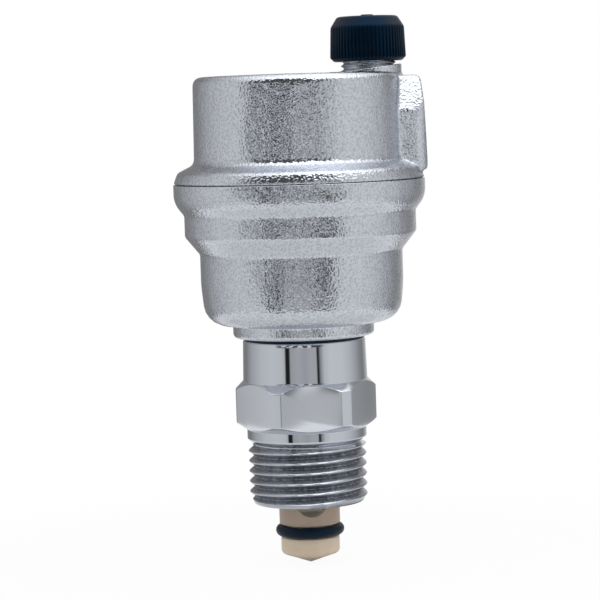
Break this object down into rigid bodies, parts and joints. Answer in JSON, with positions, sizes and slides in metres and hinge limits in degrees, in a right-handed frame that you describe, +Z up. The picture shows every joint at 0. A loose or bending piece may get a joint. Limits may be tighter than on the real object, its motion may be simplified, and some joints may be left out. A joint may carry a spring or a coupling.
{
  "type": "air release valve",
  "caption": "Float air release valve in a cast metal casing with a side nozzle and a black screw cap, on a chrome shut-off fitting with a male pipe thread and a sprung shutter.",
  "frame": {"origin": "on the axis of the inlet thread, at the top of the thread under the collar", "axes": "+Z up along the valve's axis, from the inlet to the cap; +X from the axis towards the nozzle"},
  "size_m": [0.0444, 0.0444, 0.0968],
  "materials": {
    "cast_nickel": "satin",
    "polished_chrome": "polished",
    "cream_acetal": "satin",
    "black_rubber": "satin",
    "black_plastic": "satin",
    "spring_steel": "satin",
    "brass": "satin",
    "float_plastic": "matte",
    "lever_plastic": "satin"
  },
  "bodies": {
    "shutoff": {"shutoff_body": "polished_chrome", "shutter_spring": "spring_steel"},
    "shutter": {"shutter": "cream_acetal", "shutter_seal": "black_rubber"},
    "vent": {"lower_casing": "cast_nickel", "upper_casing": "cast_nickel", "casing_seal": "black_rubber", "neck_gasket": "black_rubber", "vent_seat": "brass", "valve_bracket": "spring_steel", "bracket_screw": "spring_steel", "lever_pin": "spring_steel", "stem_spring": "spring_steel"},
    "float": {"float_shell": "float_plastic", "float_lid": "float_plastic"},
    "lever": {"lever": "lever_plastic"},
    "stem": {"valve_stem": "brass", "stem_clip": "spring_steel", "stem_seal": "black_rubber"},
    "cap_gasket": {"cap_gasket": "black_rubber"},
    "cap": {"vent_cap": "black_plastic"}
  },
  "joints": [
    {"name": "shutter_lift", "type": "slide", "parent": "shutoff", "child": "shutter", "axis": [0, 0, 1], "range_m": [0, 0.00535], "deforming": ["shutter_spring"]},
    {"name": "vent_turn", "type": "hinge", "parent": "shutter", "child": "vent", "pos_m": [0, 0, 0], "axis": [0, 0, 1], "range_deg": [0, 1440.06]},
    {"name": "cap_lift", "type": "slide", "parent": "vent", "child": "cap_gasket", "axis": [0, 0, 1], "range_m": [0, 0.00363]},
    {"name": "cap_turn", "type": "hinge", "parent": "cap_gasket", "child": "cap", "pos_m": [0.0131, 0, 0.07], "axis": [0, 0, 1], "range_deg": [0, 1440.06]},
    {"name": "float_rise", "type": "slide", "parent": "vent", "child": "float", "axis": [0, 0, 1], "range_m": [0, 0.004]},
    {"name": "lever_swing", "type": "hinge", "parent": "vent", "child": "lever", "pos_m": [0.0176, 0, 0.0513], "axis": [0, 1, 0], "range_deg": [0, 13.02]},
    {"name": "stem_lift", "type": "slide", "parent": "vent", "child": "stem", "axis": [0, 0, 1], "range_m": [0, 0.00102], "deforming": ["stem_spring"]}
  ],
  "couplings": [
    {"joint": "vent_turn", "follows": "shutter_lift", "rad_per_m": 4699.5},
    {"joint": "cap_turn", "follows": "cap_lift", "rad_per_m": 6927.4},
    {"joint": "lever_swing", "follows": "float_rise", "rad_per_m": 56.818},
    {"joint": "stem_lift", "follows": "float_rise", "ratio": 0.25568}
  ]
}
